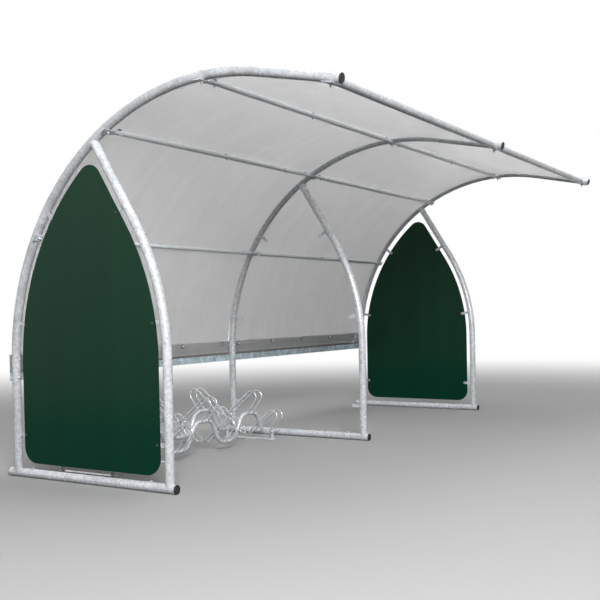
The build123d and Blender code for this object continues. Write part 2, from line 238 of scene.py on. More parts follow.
class ShelterRack(bpy.types.PropertyGroup):
    rod_diameter: bpy.props.FloatProperty(
        name="Rod Diameter", description="Diameter of the wheel hoops' rods",
        default=0.010, unit="LENGTH")
    rod_slope: bpy.props.FloatProperty(
        name="Leg Slope", description="Angle of the hoops' legs above the level",
        default=math.radians(52.9), subtype="ANGLE", unit="ROTATION")
    rod_seat: bpy.props.FloatProperty(
        name="Leg Seat", description="How far outside the wave tube's centre the legs stand",
        default=0.010, unit="LENGTH")
    wave_rise: bpy.props.FloatProperty(
        name="Wave Rise", description="Height of the wave's crests above its dips",
        default=0.162, unit="LENGTH")
    stub_diameter: bpy.props.FloatProperty(
        name="Stub Diameter", description="Diameter of the stubs under the wave tubes",
        default=0.025, unit="LENGTH")
    foot_thickness: bpy.props.FloatProperty(
        name="Foot Thickness", description="Thickness of the feet's cross bars",
        default=0.006, unit="LENGTH")


class ShelterColours(bpy.types.PropertyGroup):
    zinc: bpy.props.FloatVectorProperty(
        name="Zinc", description="Pale tone of the galvanised tubes",
        default=(0.71, 0.735, 0.765), size=3, subtype="COLOR", min=0.0, max=1.0)
    zinc_dull: bpy.props.FloatVectorProperty(
        name="Dull Zinc", description="Darker tone of the galvanised tubes",
        default=(0.50, 0.52, 0.545), size=3, subtype="COLOR", min=0.0, max=1.0)
    rod: bpy.props.FloatVectorProperty(
        name="Bright Zinc", description="Tone of the rack's rods and of the bolts",
        default=(0.42, 0.44, 0.46), size=3, subtype="COLOR", min=0.0, max=1.0)
    cap: bpy.props.FloatVectorProperty(
        name="Cap", description="Colour of the black end caps",
        default=(0.020, 0.021, 0.023), size=3, subtype="COLOR", min=0.0, max=1.0)
    panel: bpy.props.FloatVectorProperty(
        name="Panel", description="Dark green of the side panels",
        default=(0.006, 0.036, 0.020), size=3, subtype="COLOR", min=0.0, max=1.0)
    panel_foot: bpy.props.FloatVectorProperty(
        name="Panel Foot", description="Deeper green near the side panels' feet",
        default=(0.0, 0.034, 0.018), size=3, subtype="COLOR", min=0.0, max=1.0)
    panel_tip: bpy.props.FloatVectorProperty(
        name="Panel Tip", description="Bleached green near the side panels' tips",
        default=(0.014, 0.046, 0.026), size=3, subtype="COLOR", min=0.0, max=1.0)
    sheet: bpy.props.FloatVectorProperty(
        name="Sheet", description="Tint of the frosted roof sheets",
        default=(0.96, 0.96, 0.955), size=3, subtype="COLOR", min=0.0, max=1.0)


class ShelterStudio(bpy.types.PropertyGroup):
    camera_place: bpy.props.FloatVectorProperty(
        name="Camera Place", description="Where the camera stands",
        default=(-5.6469, -3.1305, 0.9258), size=3, subtype="XYZ", unit="LENGTH")
    camera_yaw: bpy.props.FloatProperty(
        name="Camera Yaw", description="Turn of the view from straight back towards the right",
        default=1.00853, subtype="ANGLE", unit="ROTATION")
    camera_pitch: bpy.props.FloatProperty(
        name="Camera Pitch", description="Tilt of the view above the level",
        default=-0.01778, subtype="ANGLE", unit="ROTATION")
    camera_roll: bpy.props.FloatProperty(
        name="Camera Roll", description="Roll of the camera round its line of sight",
        default=-0.01967, subtype="ANGLE", unit="ROTATION")
    lens: bpy.props.FloatProperty(
        name="Lens", description="Focal length on a 36 mm frame, in millimetres", default=54.1)
    shift: bpy.props.FloatVectorProperty(
        name="Shift", description="Sideways and upward shift of the lens, as shares of the picture",
        default=(-0.0032, 0.046), size=2)
    floor_tone: bpy.props.FloatProperty(
        name="Floor Tone", description="Brightness of the pale floor",
        default=0.45, min=0.0, max=1.0)
    floor_bounce: bpy.props.FloatVectorProperty(
        name="Floor Bounce", description="Colour of the floor in the light that it gives back",
        default=(0.076, 0.073, 0.070), size=3, subtype="COLOR", min=0.0, max=1.0)
    floor_reach: bpy.props.FloatProperty(
        name="Floor Reach", description="Half the width of the floor",
        default=40.0, unit="LENGTH")
    fade_start: bpy.props.FloatProperty(
        name="Fade Start", description="Distance at which the floor starts to fade to white",
        default=3.2, unit="LENGTH")
    fade_end: bpy.props.FloatProperty(
        name="Fade End", description="Distance at which the floor has faded to white",
        default=11.0, unit="LENGTH")
    sky_strength: bpy.props.FloatProperty(
        name="Sky Strength", description="Strength of the soft overhead sky", default=0.30)
    key_place: bpy.props.FloatVectorProperty(
        name="Key Place", description="Where the key light stands",
        default=(-7.0, -5.0, 4.3), size=3, subtype="XYZ", unit="LENGTH")
    key_size: bpy.props.FloatProperty(
        name="Key Size", description="Width of the key light", default=2.6, unit="LENGTH")
    key_power: bpy.props.FloatProperty(
        name="Key Power", description="Power of the key light in watts", default=730.0)
    top_place: bpy.props.FloatVectorProperty(
        name="Top Place", description="Where the overhead light hangs",
        default=(0.5, -0.5, 7.5), size=3, subtype="XYZ", unit="LENGTH")
    top_size: bpy.props.FloatProperty(
        name="Top Size", description="Width of the overhead light", default=5.0, unit="LENGTH")
    top_power: bpy.props.FloatProperty(
        name="Top Power", description="Power of the overhead light in watts", default=230.0)
    light_aim: bpy.props.FloatVectorProperty(
        name="Light Aim", description="Point that both lights face",
        default=(0.0, 0.0, 0.9), size=3, subtype="XYZ", unit="LENGTH")


def props(kind):
    """One of the shelter's groups of sizes and colours, by its key in GROUPS."""
    return getattr(bpy.context.scene, "shelter_" + kind)


# Geometry of the frames, in metres

def at_side(x, s, z):
    """Point of a frame's plane, s metres ahead of the arch's foot."""
    return Vector((x, FOOT_Y - s, z))


def bow_radius():
    """Bend radius of the arches' centrelines."""
    return ARCH_HIGH.z - TUBE_RADIUS - props("shape").stand_height


def arch_at_height(z):
    """Point (s, z) of an arch's centreline at a height, and its inward direction."""
    stand = props("shape").stand_height
    radius = bow_radius()
    if z <= stand:
        return (0.0, z), (1.0, 0.0)
    a = math.asin((z - stand) / radius)
    return (radius * (1 - math.cos(a)), z), (math.cos(a), -math.sin(a))


def post_at_height(z):
    """Point (s, z) of a front post's centreline at a height, and its inward direction."""
    shape = props("shape")
    centre = shape.post_spacing - shape.post_radius
    bend_end = shape.post_stand + shape.post_radius * math.sin(shape.post_sweep)
    if z <= shape.post_stand:
        return (shape.post_spacing, z), (-1.0, 0.0)
    if z <= bend_end:
        a = math.asin((z - shape.post_stand) / shape.post_radius)
        return (centre + shape.post_radius * math.cos(a), z), (-math.cos(a), -math.sin(a))
    a = shape.post_sweep
    s = centre + shape.post_radius * math.cos(a) - (z - bend_end) * math.tan(a)
    return (s, z), (-math.cos(a), -math.sin(a))


def post_top():
    """Where a front post's centreline meets its arch's, as (s, z)."""
    shape = props("shape")
    low = shape.post_stand + shape.post_radius * math.sin(shape.post_sweep)
    high = ARCH_HIGH.z
    for _ in range(HALVINGS):
        middle = (low + high) / 2
        (s, z), _inward = post_at_height(middle)
        under_bow = math.hypot(s - bow_radius(), z - shape.stand_height) < bow_radius()
        low, high = (middle, high) if under_bow else (low, middle)
    return post_at_height(low)[0]


def purlin_seat(name):
    """Point (s, z) of the arch's centreline at a purlin, the outward direction there, and how far
    inward of that point the purlin's far side lies."""
    shape = props("shape")
    if name == "front":
        a = shape.arch_sweep
        reach = shape.tip_length - shape.front_setback
        sink = shape.front_purlin_drop + shape.front_purlin_diameter / 2
    else:
        a = getattr(shape, name + "_angle")
        reach = 0.0
        sink = shape.purlin_diameter + shape.sheet_thickness / 2
    s = bow_radius() * (1 - math.cos(a)) + reach * math.sin(a)
    z = shape.stand_height + bow_radius() * math.sin(a) + reach * math.cos(a)
    return (s, z), Vector((0, math.cos(a), math.sin(a))), sink


def sheet_at_rail(z):
    """Middle of a sheet's thickness at a height near the rear rail, and the sheet's outward
    direction there. Below the lower purlin the sheet follows a wider curve than the arches."""
    shape = props("shape")
    a = shape.lower_angle
    radius = bow_radius() + (TUBE_RADIUS - shape.sheet_thickness / 2) / (1 - math.cos(a))
    centre_s = bow_radius() * (1 - math.cos(a)) + radius * math.cos(a)
    centre_z = shape.stand_height + (bow_radius() - radius) * math.sin(a)
    b = math.asin((z - centre_z) / radius)
    return at_side(0, centre_s - radius * math.cos(b), z), Vector((0, math.cos(b), math.sin(b)))


def along_bays(inset, pitch):
    """Places along both bays about a pitch apart, which keep an inset from the frames."""
    places = []
    for first, second in zip(SIDES, SIDES[1:]):
        start, end = FRAME_X[first] + inset, FRAME_X[second] - inset
        steps = round((end - start) / pitch)
        places += [start + (end - start) * k / steps for k in range(steps + 1)]
    return places


# Mesh making

def circle(radius, steps, height=0.0):
    """Points round a circle about the local z axis."""
    turns = [math.tau * k / steps for k in range(steps)]
    return [Vector((radius * math.cos(a), radius * math.sin(a), height)) for a in turns]


def skin(bm, low, high):
    """Faces between two rings of vertices."""
    for k in range(len(low)):
        j = (k + 1) % len(low)
        bm.faces.new((low[k], low[j], high[j], high[k]))


def close_ends(bm, rows):
    """Flat ends on the first and last of a row of rings."""
    bm.faces.new(list(reversed(rows[0])))
    bm.faces.new(rows[-1])


def loft(bm, rings, matrix):
    """Join rings of points into a closed skin with a flat end at each side."""
    rows = [[bm.verts.new(matrix @ Vector(p)) for p in ring] for ring in rings]
    for low, high in zip(rows, rows[1:]):
        skin(bm, low, high)
    close_ends(bm, rows)


def turned(bm, profile, matrix, steps=20):
    """A turned shape from (radius, height) pairs."""
    loft(bm, [circle(radius, steps, height) for radius, height in profile], matrix)


def hexagon(bm, flats, height, matrix):
    """A hexagon with the round chamfers of a nut or bolt head."""
    inside = flats / 2
    chamfer = flats * 0.09
    steps = 24
    sixth = math.pi / 3
    rounded = circle(inside * 0.95, steps)
    full = []
    for k in range(steps):
        a = math.tau * k / steps
        corner = inside / math.cos((a + sixth / 2) % sixth - sixth / 2)
        full.append(Vector((corner * math.cos(a), corner * math.sin(a), 0)))
    rings = [[p + Vector((0, 0, h)) for p in ring] for ring, h in (
        (rounded, 0.0), (full, chamfer), (full, height - chamfer), (rounded, height))]
    loft(bm, rings, matrix)


def facing(point, direction, turn_by=0.0):
    """Matrix that puts local z along a direction at a point."""
    turn = Vector(direction).to_track_quat("Z", "Y").to_matrix().to_4x4()
    return Matrix.Translation(point) @ turn @ Matrix.Rotation(turn_by, 4, "Z")


def washer(bm, diameter, matrix):
    """A plain washer; returns its height."""
    height = diameter * WASHER_HEIGHT
    radius = diameter * WASHER_WIDTH / 2
    turned(bm, [(radius * 0.96, 0.0), (radius, height * 0.25), (radius, height * 0.75),
                (radius * 0.96, height)], matrix)
    return height


def hex_head(bm, diameter, matrix):
    """Hexagon bolt head on its washer."""
    lift = washer(bm, diameter, matrix)
    on_washer = matrix @ Matrix.Translation((0, 0, lift))
    hexagon(bm, diameter * HEX_FLATS, diameter * HEAD_HEIGHT, on_washer)


def domed_head(bm, diameter, matrix):
    """Cup head of a coach bolt on its washer."""
    lift = washer(bm, diameter, matrix)
    radius = diameter * DOME_RADIUS
    rise = diameter * HEAD_HEIGHT
    edge = 0.12
    steps = 8
    profile = [(radius, lift), (radius, lift + rise * edge)]
    for k in range(1, steps):
        a = math.pi / 2 * k / steps
        profile.append((radius * math.cos(a), lift + rise * (edge + (1 - edge) * math.sin(a))))
    profile.append((radius * 0.02, lift + rise))
    turned(bm, profile, matrix)


def nut_and_thread(bm, diameter, matrix, reach=1.6):
    """Nut on its washer, with the bolt's thread standing out of it, so many diameters in all."""
    lift = washer(bm, diameter, matrix)
    height = diameter * NUT_HEIGHT
    hexagon(bm, diameter * HEX_FLATS, height, matrix @ Matrix.Translation((0, 0, lift)))
    pitch = diameter * THREAD_PITCH
    root, crest = diameter * 0.44, diameter / 2
    profile = []
    z = lift + height / 2
    while z < diameter * reach:
        profile += [(root, z), (crest, z + pitch / 2)]
        z += pitch
    profile += [(diameter * 0.42, z), (diameter * 0.36, z + pitch / 2)]
    turned(bm, profile, matrix, steps=14)


def shank(bm, start, end, diameter):
    """The plain part of a bolt between two points."""
    length = (end - start).length
    turned(bm, [(diameter / 2, 0.0), (diameter / 2, length)], facing(start, end - start), steps=12)


def rubber_seal(bm, diameter, thickness, sheet, matrix):
    """Black rubber grommet through a sheet, pressed out round its rim under the bolt head."""
    radius = diameter / 2
    hole = radius * 0.45
    lip = thickness * 0.4
    turned(bm, [(hole, -sheet - lip * 0.9), (radius * 0.92, -sheet - lip),
                (radius, -sheet - lip * 0.5), (radius, thickness * 0.6), (radius * 0.9, thickness),
                (hole, thickness * SEAL_SQUEEZE)], matrix, steps=28)


def weld(bm, points, radius, closed=True):
    """A rippled weld bead that follows a list of points."""
    sides = 6
    last = len(points) - 1
    rows = []
    for i, point in enumerate(points):
        before = points[i - 1] if closed else points[max(i - 1, 0)]
        after = points[(i + 1) % len(points)] if closed else points[min(i + 1, last)]
        ripple = 1.0 + sum(depth * math.sin(turn * i) for depth, turn in RIPPLES)
        basis = facing(point, after - before)
        rows.append([bm.verts.new(basis @ p) for p in circle(radius * ripple, sides)])
    for low, high in zip(rows, rows[1:] + rows[:1] if closed else rows[1:]):
        shift = min(range(sides), key=lambda n: sum(
            (low[k].co - high[(k + n) % sides].co).length for k in range(sides)))
        skin(bm, low, high[shift:] + high[:shift])
    if not closed:
        close_ends(bm, rows)


def cope(point, direction, radius, inside, count, reach=0.12):
    """Where a round bar that starts inside another body comes out of it, all the way round."""
    basis = facing(point, direction)
    along = Vector(direction).normalized()
    points = []
    for offset in circle(radius, count):
        start = basis @ offset
        low, high = 0.0, reach
        for _ in range(HALVINGS):
            middle = (low + high) / 2
            low, high = (middle, high) if inside(start + along * middle) else (low, middle)
        points.append(start + along * low)
    return points


def make_piece(name, bm, material, smooth_angle=35.0):
    """Turn a bmesh into an object that rides on the shelter."""
    mesh = bpy.data.meshes.new(name)
    bmesh.ops.recalc_face_normals(bm, faces=bm.faces)
    bm.to_mesh(mesh)
    bm.free()
    mesh.materials.append(material)
    mesh.polygons.foreach_set("use_smooth", [True] * len(mesh.polygons))
    mesh.set_sharp_from_angle(angle=math.radians(smooth_angle))
    piece = bpy.data.objects.new(name, mesh)
    bpy.context.scene.collection.objects.link(piece)
    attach(piece, "root")


# Finishes

def new_material(name):
    """A new material and its main shader, or the material made before and None."""
    material = bpy.data.materials.get(name)
    if material:
        return material, None
    material = bpy.data.materials.new(name)
    material.use_nodes = True
    return material, material.node_tree.nodes["Principled BSDF"]


def link(owner, source, target):
    owner.node_tree.links.new(source, target)


def object_place(owner):
    """Where a point lies on its own piece."""
    return owner.node_tree.nodes.new("ShaderNodeTexCoord").outputs["Object"]


def drawn_out(owner, place, scale):
    """A place stretched along its axes, for streaks."""
    node = owner.node_tree.nodes.new("ShaderNodeMapping")
    node.inputs["Scale"].default_value = scale
    link(owner, place, node.inputs["Vector"])
    return node.outputs["Vector"]


def height_share(owner, place, low, high):
    """How far up a place is between two heights, from 0 to 1."""
    split = owner.node_tree.nodes.new("ShaderNodeSeparateXYZ")
    link(owner, place, split.inputs["Vector"])
    rise = owner.node_tree.nodes.new("ShaderNodeMapRange")
    rise.inputs["From Min"].default_value = low
    rise.inputs["From Max"].default_value = high
    link(owner, split.outputs["Z"], rise.inputs["Value"])
    return rise.outputs["Result"]


def noise(owner, place, scale, detail=3.0, roughness=0.55):
    """Clouds when the scale is low, specks and grain when it is high."""
    node = owner.node_tree.nodes.new("ShaderNodeTexNoise")
    node.inputs["Scale"].default_value = scale
    node.inputs["Detail"].default_value = detail
    node.inputs["Roughness"].default_value = roughness
    link(owner, place, node.inputs["Vector"])
    return node.outputs["Fac"]


def ramp(owner, source, stops):
    """Tones from (position, grey or colour) stops, picked by a source from 0 to 1."""
    node = owner.node_tree.nodes.new("ShaderNodeValToRGB")
    elements = node.color_ramp.elements
    while len(elements) < len(stops):
        elements.new(0.5)
    for element, (position, tone) in zip(elements, stops):
        element.position = position
        element.color = (*tone, 1.0) if isinstance(tone, (tuple, list)) else (tone, tone, tone, 1.0)
    link(owner, source, node.inputs["Fac"])
    return node.outputs["Color"]


def mix(owner, blend, factor, first, second):
    """Mix two colours, each a socket or a constant."""
    node = owner.node_tree.nodes.new("ShaderNodeMix")
    node.data_type = "RGBA"
    node.blend_type = blend
    for socket, value in ((node.inputs[0], factor), (node.inputs[6], first),
                          (node.inputs[7], second)):
        if isinstance(value, bpy.types.NodeSocket):
            link(owner, value, socket)
        elif isinstance(value, (int, float)):
            socket.default_value = value
        else:
            socket.default_value = (*value, 1.0)
    return node.outputs[2]


def multiply(owner, first, second):
    return mix(owner, "MULTIPLY", 1.0, first, second)


def mix_shaders(owner, factor, first, second):
    node = owner.node_tree.nodes.new("ShaderNodeMixShader")
    for socket, source in zip(node.inputs, (factor, first, second)):
        link(owner, source, socket)
    return node.outputs["Shader"]


def uneven_gloss(owner, shader, source, stops):
    """Roughness that follows a pattern."""
    link(owner, ramp(owner, source, stops), shader.inputs["Roughness"])


def fine_relief(owner, shader, source, strength, height):
    """Fine bumps that follow a pattern."""
    bump = owner.node_tree.nodes.new("ShaderNodeBump")
    bump.inputs["Strength"].default_value = strength
    bump.inputs["Distance"].default_value = height
    link(owner, source, bump.inputs["Height"])
    link(owner, bump.outputs["Normal"], shader.inputs["Normal"])


def galvanised(name, spangle=75.0, roughness=0.28, metallic=0.18, shade=1.0, contrast=1.0):
    """Hot-dip zinc: grey crystals, cloudy dull patches and fine pits. The spangle is the number of
    crystals along a metre, and less contrast makes crystals and patches calmer."""
    material, shader = new_material(name)
    if shader is None:
        return material
    colours = props("colours")
    nodes = material.node_tree.nodes
    place = object_place(material)
    clouds = noise(material, place, 9.0, 4.0, 0.62)
    pale = Vector(colours.zinc) * shade
    dark = pale.lerp(Vector(colours.zinc_dull) * shade, contrast)
    patches = ramp(material, clouds, ((0.32, 0.0), (0.76, 1.0)))
    tone = mix(material, "MIX", patches, tuple(pale), tuple(dark))
    crystals = nodes.new("ShaderNodeTexVoronoi")
    crystals.inputs["Scale"].default_value = spangle
    link(material, place, crystals.inputs["Vector"])
    facets = nodes.new("ShaderNodeSeparateColor")
    link(material, crystals.outputs["Color"], facets.inputs["Color"])
    sparkle = ramp(material, facets.outputs["Red"],
                   ((0.0, 1.0 - 0.20 * contrast), (1.0, 1.0 + 0.10 * contrast)))
    link(material, multiply(material, tone, sparkle), shader.inputs["Base Color"])
    uneven_gloss(material, shader, clouds, ((0.25, roughness - 0.08), (0.75, roughness + 0.16)))
    shader.inputs["Metallic"].default_value = metallic
    fine_relief(material, shader, noise(material, place, 340.0, 2.0), 0.12, 0.0006)
    return material


def bright_zinc(name="bright_zinc", roughness=0.26, shade=1.55):
    """Bright zinc of the rack's rods and the bolts, with soft cloudy dulling."""
    material, shader = new_material(name)
    if shader is None:
        return material
    place = object_place(material)
    clouds = noise(material, place, 26.0, 4.0, 0.6)
    bright = tuple(c * shade for c in props("colours").rod)
    dull = tuple(c * 0.66 for c in bright)
    tone = ramp(material, clouds, ((0.35, dull), (0.62, bright)))
    link(material, tone, shader.inputs["Base Color"])
    uneven_gloss(material, shader, clouds, ((0.3, roughness + 0.14), (0.7, roughness - 0.04)))
    shader.inputs["Metallic"].default_value = 0.60
    fine_relief(material, shader, noise(material, place, 520.0, 2.0), 0.08, 0.0004)
    return material


def rail_zinc():
    """Zinc of the rear rail, with painted light and shade: lighter and bluish where it is lit below
    the sheets' lower edge, a painted shadow line along that edge, and painted shade behind the
    sheets. Blotches run over all of it."""
    known = bpy.data.materials.get("rail_zinc")
    if known:
        return known
    material = galvanised("rail_zinc", spangle=46.0, roughness=0.38, metallic=0.20)
    colour = material.node_tree.nodes["Principled BSDF"].inputs["Base Color"]
    zinc = colour.links[0].from_socket
    place = object_place(material)
    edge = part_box("roof_sheet_left")[0].z
    rise = height_share(material, place, edge - 0.004, edge + 0.046)
    # Painted light and shade: a lighter bluish tone where the rail is lit below the sheets, a
    # painted shadow line at their lower edge, and darker painted shade (the last two tones) behind
    # the sheets.
    lit_bluish, painted_shadow_line = (0.94, 1.10, 1.15), (0.40, 0.37, 0.34)
    shaded_low, dull = (0.58, 0.57, 0.55), (0.71, 0.71, 0.70)
    painted_light_bands = ramp(material, rise, ((0.0, lit_bluish), (0.12, painted_shadow_line), (0.30, shaded_low), (0.7, dull)))
    blotches = ramp(material, noise(material, place, 15.0, 5.0, 0.68), ((0.36, 0.72), (0.64, 1.18)))
    tone = multiply(material, multiply(material, zinc, painted_light_bands), blotches)
    link(material, tone, colour)
    return material


def weld_zinc():
    """Zinc over the weld beads, duller and rougher than on the tubes."""
    return galvanised("weld_zinc", spangle=220.0, roughness=0.46, metallic=0.25)


def black_plastic():
    """Moulded black plastic of the end caps and seals, with scuffs."""
    material, shader = new_material("black_cap_plastic")
    if shader is None:
        return material
    scuffs = noise(material, object_place(material), 120.0, 5.0, 0.7)
    black = tuple(props("colours").cap)
    tone = ramp(material, scuffs, ((0.45, black), (0.75, tuple(c * 2.4 for c in black))))
    link(material, tone, shader.inputs["Base Color"])
    uneven_gloss(material, shader, scuffs, ((0.35, 0.46), (0.7, 0.66)))
    shader.inputs["Specular IOR Level"].default_value = 0.25
    return material


def panel_laminate():
    """Dark green satin laminate: deeper green at its foot, bleached at its tip, with upright
    streaks and a faint orange-peel face."""
    material, shader = new_material("green_laminate")
    if shader is None:
        return material
    colours = props("colours")
    low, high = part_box("side_panel_left")
    place = object_place(material)
    rise = height_share(material, place, low.z, high.z)
    fade = ramp(material, rise, ((0.14, tuple(colours.panel_foot)), (0.28, tuple(colours.panel)),
                                 (1.0, tuple(colours.panel_tip))))
    streaks = noise(material, drawn_out(material, place, (1.0, 7.0, 0.3)), 1.0, 4.0)
    streaky = ramp(material, streaks, ((0.3, 0.90), (0.7, 1.10)))
    link(material, multiply(material, fade, streaky), shader.inputs["Base Color"])
    uneven_gloss(material, shader, noise(material, place, 2.6), ((0.3, 0.34), (0.7, 0.42)))
    shader.inputs["Specular IOR Level"].default_value = 0.10
    fine_relief(material, shader, noise(material, place, 380.0, 2.0), 0.05, 0.0003)
    return material


def frosted_sheet():
    """Frosted translucent roof sheet: milky, with a painted shadow as a dark band along its lower
    edge and a painted highlight as a lighter line just above it, darker towards the bottom, drifts
    of grime, faint streaks left by washing, specks and a soft gloss."""
    material, shader = new_material("frosted_sheet")
    if shader is None:
        return material
    low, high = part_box("roof_sheet_left")
    place = object_place(material)
    milky = tuple(props("colours").sheet)
    # Painted shadow: the dark band along the sheet's lower edge; painted highlight: the lighter
    # line just above it. Above that the sheet is darker towards the bottom.
    edge_shadow, edge_shadow_fringe = (0.34, 0.31, 0.29), (0.42, 0.39, 0.37)
    tone = ramp(material, height_share(material, place, low.z, high.z),
                ((0.0, edge_shadow), (0.007, edge_shadow_fringe), (0.012, tuple(c * 0.96 for c in milky)),
                 (0.022, tuple(c * 0.75 for c in milky)), (1.0, milky)))
    drifts = noise(material, place, 3.2, 5.0, 0.6)
    streaks = noise(material, drawn_out(material, place, (16.0, 1.0, 1.0)), 1.0, 4.0)
    specks = noise(material, place, 70.0, 2.0, 0.5)
    for source, stops in ((drifts, ((0.30, 0.93), (0.70, 1.03))),
                          (streaks, ((0.35, 0.96), (0.65, 1.02))),
                          (specks, ((0.27, 0.84), (0.33, 1.0)))):
        tone = multiply(material, tone, ramp(material, source, stops))
    link(material, tone, shader.inputs["Base Color"])
    uneven_gloss(material, shader, specks, ((0.3, 0.34), (0.7, 0.44)))
    shader.inputs["Transmission Weight"].default_value = 0.50
    shader.inputs["Subsurface Weight"].default_value = 1.0
    shader.inputs["Subsurface Radius"].default_value = (1.0, 1.0, 1.0)
    shader.inputs["Subsurface Scale"].default_value = 0.03
    shader.inputs["IOR"].default_value = 1.35
    shader.inputs["Alpha"].default_value = 0.74
    return material


def dress(node, material):
    """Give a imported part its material."""
    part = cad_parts[node]
    part.data.materials.clear()
    part.data.materials.append(material)


# Operators

class SHELTER_OT_frames(bpy.types.Operator):
    """Give the tube frames, purlins, rear rail and end caps their finishes"""
    bl_idname = "shelter.frames"
    bl_label = "Finish Frames"

    def execute(self, context):
        # Painted shade: the arches' zinc, which also goes on the front purlins, is a darker copy
        # (shade 0.92) that stands for the shade on them.
        shaded_arch_zinc = galvanised("galvanised_zinc", shade=0.92)
        # Painted light: posts and base tubes get a lighter copy of the zinc (shade 1.12) that
        # stands for the light falling on them.
        post_zinc = galvanised("post_zinc", roughness=0.26, metallic=0.16, shade=1.12)
        # Painted light: the roof purlins' zinc is made lighter too (shade 1.12), standing in for
        # the highlights along them.
        purlin_zinc = galvanised("purlin_zinc", spangle=90.0, roughness=0.30, shade=1.12,
                                 contrast=0.3)
        black = black_plastic()
        for side in SIDES:
            dress("arch_" + side, shaded_arch_zinc)
            for part in ("base_tube_", "front_post_"):
                dress(part + side, post_zinc)
            for part in ("roof_cap_", "base_front_cap_", "base_rear_cap_"):
                dress(part + side, black)
        for bay in BAYS:
            for name in PURLINS:
                dress(name + "_purlin_" + bay, shaded_arch_zinc if name == "front" else purlin_zinc)
        for length in ("long", "short"):
            dress("rear_rail_" + length, rail_zinc())
        return {"FINISHED"}


class SHELTER_OT_claddings(bpy.types.Operator):
    """Give the roof sheets and side panels their finishes"""
    bl_idname = "shelter.claddings"
    bl_label = "Finish Sheets and Panels"

    def execute(self, context):
        for bay in BAYS:
            dress("roof_sheet_" + bay, frosted_sheet())
            dress("side_panel_" + bay, panel_laminate())
        return {"FINISHED"}


class SHELTER_OT_rack(bpy.types.Operator):
    """Give the wheel rack its finishes and weld its hoops and feet to the wave tubes"""
    bl_idname = "shelter.rack"
    bl_label = "Finish Wheel Rack"

    def execute(self, context):
        # Painted light: the wave tubes' zinc is made slightly lighter and the rods' bright zinc
        # much lighter (shade 2.0), standing for the light on the lit slopes and rods.
        tube_zinc = galvanised("rack_tube_zinc", spangle=110.0, roughness=0.24, metallic=0.30,
                               shade=1.05, contrast=0.5)
        lit_rod_zinc = bright_zinc("rack_rod_zinc", roughness=0.18, shade=2.0)
        bm = bmesh.new()
        for row, way in (("front", -1), ("rear", 1)):
            dress("rack_wave_" + row, tube_zinc)
            for i in range(HOOPS_A_SIDE):
                hoop = "%s_wheel_hoop_%d" % (row, i + 1)
                dress(hoop, lit_rod_zinc)
                weld_hoop(bm, hoop, "rack_wave_" + row, way, on_crest=i % 2)
        for side in SIDES:
            dress("rack_foot_" + side, tube_zinc)
            for row in ("front", "rear"):
                weld_stub(bm, "rack_foot_" + side, "rack_wave_" + row)
        make_piece("rack_welds", bm, weld_zinc(), smooth_angle=60.0)
        return {"FINISHED"}


def weld_hoop(bm, hoop, wave, way, on_crest):
    """Beads round a hoop's two legs where they stand on a wave tube's crest or in its dip."""
    rack = props("rack")
    low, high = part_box(wave)
    tube_radius = (high.z - low.z - rack.wave_rise) / 2
    tube_y = (low.y + high.y) / 2
    tube_z = low.z + tube_radius + rack.wave_rise * on_crest
    rod_radius = rack.rod_diameter / 2
    slope = Vector((0, way * math.cos(rack.rod_slope), math.sin(rack.rod_slope)))
    left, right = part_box(hoop)
    for x in (left.x + rod_radius, right.x - rod_radius):
        start = Vector((x, tube_y + way * rack.rod_seat, tube_z))
        ring = cope(start, slope, rod_radius,
                    lambda p: math.hypot(p.y - tube_y, p.z - tube_z) < tube_radius,
                    count=22, reach=4 * rack.rod_diameter)
        weld(bm, ring, props("fixings").rod_weld_radius)


def weld_stub(bm, foot, wave):
    """Bead round the lower end of the stub that carries a wave tube."""
    rack = props("rack")
    low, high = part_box(foot)
    front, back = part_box(wave)
    place = Vector(((low.x + high.x) / 2, (front.y + back.y) / 2, low.z + rack.foot_thickness))
    ring = [place + p for p in circle(rack.stub_diameter / 2, steps=28)]
    weld(bm, ring, props("fixings").rod_weld_radius)


class SHELTER_OT_frame_welds(bpy.types.Operator):
    """Weld the arches, posts and lugs of the tube frames"""
    bl_idname = "shelter.frame_welds"
    bl_label = "Weld Frames"

    def execute(self, context):
        fixings = props("fixings")
        for side in SIDES:
            bm = bmesh.new()
            weld_tubes(bm, FRAME_X[side])
            for height in fixings.lug_heights:
                for place in (arch_at_height(height), post_at_height(height)):
                    weld_lug(bm, FRAME_X[side], place)
            make_piece("frame_welds_" + side, bm, weld_zinc(),
                       smooth_angle=60.0)
        return {"FINISHED"}


def weld_tubes(bm, x):
    """Beads round the feet of a frame's arch and post, and round the post's coped top."""
    shape = props("shape")
    bead = props("fixings").weld_radius
    bow_centre_y = FOOT_Y - bow_radius()
    for s in (0.0, shape.post_spacing):
        ring = cope(at_side(x, s, BASE_CENTRE_Z), (0, 0, 1), TUBE_RADIUS,
                    lambda p: math.hypot(p.x - x, p.z - BASE_CENTRE_Z) < TUBE_RADIUS, count=56)
        weld(bm, ring, bead)

    def in_arch(p):
        off_bow = math.hypot(p.y - bow_centre_y, p.z - shape.stand_height) - bow_radius()
        return math.hypot(p.x - x, off_bow) < TUBE_RADIUS

    down = Vector((0, -math.sin(shape.post_sweep), -math.cos(shape.post_sweep)))
    weld(bm, cope(at_side(x, *post_top()), down, TUBE_RADIUS, in_arch, count=64), bead)


def weld_lug(bm, x, place):
    """Beads along both faces of a lug where it leaves its tube."""
    fixings = props("fixings")
    (s, z), (ds, dz) = place
    bead = fixings.rod_weld_radius
    off_tube = TUBE_RADIUS + bead * 0.2
    off_lug = fixings.lug_thickness / 2 + bead * 0.3
    steps = 8
    for face in (-1, 1):
        points = []
        for k in range(steps + 1):
            across = fixings.lug_width * (k / steps - 0.5)
            points.append(at_side(x + face * off_lug, s + ds * off_tube - dz * across,
                                  z + dz * off_tube + ds * across))
        weld(bm, points, bead, closed=False)


